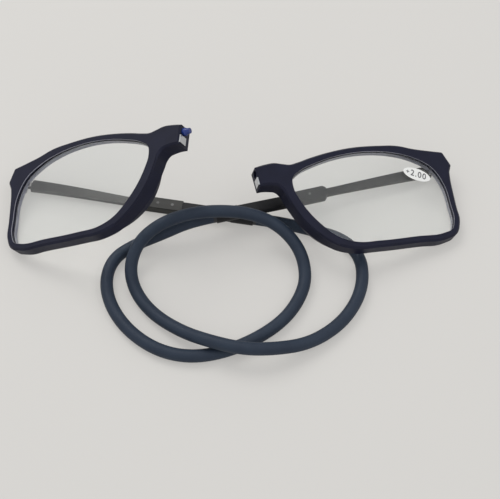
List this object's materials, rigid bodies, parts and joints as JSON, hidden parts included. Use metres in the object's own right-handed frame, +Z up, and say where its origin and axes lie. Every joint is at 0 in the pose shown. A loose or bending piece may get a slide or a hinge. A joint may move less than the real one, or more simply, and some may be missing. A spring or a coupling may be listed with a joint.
{
  "type": "magnetic bridge reading glasses",
  "caption": "Reading glasses that part at a magnetic bridge, with hinged half-fronts, sliding temple bars and a looped neck cord.",
  "frame": {"origin": "on the table, under the middle of the glasses without their cord", "axes": "+X to the right along the two half-fronts, +Y away from the viewer towards their top edges, +Z up from the table"},
  "size_m": [0.1482, 0.0762, 0.0384],
  "materials": {
    "front_plastic": "matt navy",
    "lens_clear": "clear, coated",
    "magnet_nickel": "satin nickel",
    "hinge_steel": "satin",
    "screw_steel": "satin",
    "bar_gunmetal": "satin gunmetal",
    "housing_gunmetal": "satin gunmetal",
    "spring_steel": "bright",
    "rivet_steel": "satin",
    "sleeve_plastic": "matt black",
    "plug_plastic": "matt",
    "cord_rubber": "matt navy",
    "peg_blue": "gloss blue",
    "sticker_white": "white film"
  },
  "bodies": {
    "cord_and_sliders": {"neck_cord": "cord_rubber", "left_sleeve": "sleeve_plastic", "left_cord_plug": "plug_plastic", "left_slider_housing": "housing_gunmetal", "left_click_spring": "spring_steel", "left_housing_rivets": "rivet_steel", "right_sleeve": "sleeve_plastic", "right_cord_plug": "plug_plastic", "right_slider_housing": "housing_gunmetal", "right_click_spring": "spring_steel", "right_housing_rivets": "rivet_steel"},
    "left_bar": {"left_temple_bar": "bar_gunmetal", "left_bar_stop": "screw_steel"},
    "right_bar": {"right_temple_bar": "bar_gunmetal", "right_bar_stop": "screw_steel"},
    "left_half": {"left_front": "front_plastic", "left_lens": "lens_clear", "left_bridge_magnet": "magnet_nickel", "locating_peg": "peg_blue", "left_hinge_leaf": "hinge_steel", "left_hinge_screw": "screw_steel"},
    "right_half": {"right_front": "front_plastic", "right_lens": "lens_clear", "right_bridge_magnet": "magnet_nickel", "power_sticker": "sticker_white", "right_hinge_leaf": "hinge_steel", "right_hinge_screw": "screw_steel"}
  },
  "joints": [
    {"name": "left_slide", "type": "slide", "parent": "cord_and_sliders", "child": "left_bar", "axis": [-0.9848, 0.1736, 0], "range_m": [0, 0.02]},
    {"name": "right_slide", "type": "slide", "parent": "cord_and_sliders", "child": "right_bar", "axis": [0.9579, 0.2819, -0.0541], "range_m": [0, 0.02]},
    {"name": "left_hinge", "type": "hinge", "parent": "left_bar", "child": "left_half", "pos_m": [-0.0687, 0.011, 0.002], "axis": [-0.1736, -0.9848, 0], "range_deg": [-7, 64]},
    {"name": "right_hinge", "type": "hinge", "parent": "right_bar", "child": "right_half", "pos_m": [0.0684, 0.0169, 0.0025], "axis": [-0.2823, 0.9593, 0], "range_deg": [-2, 84]}
  ]
}
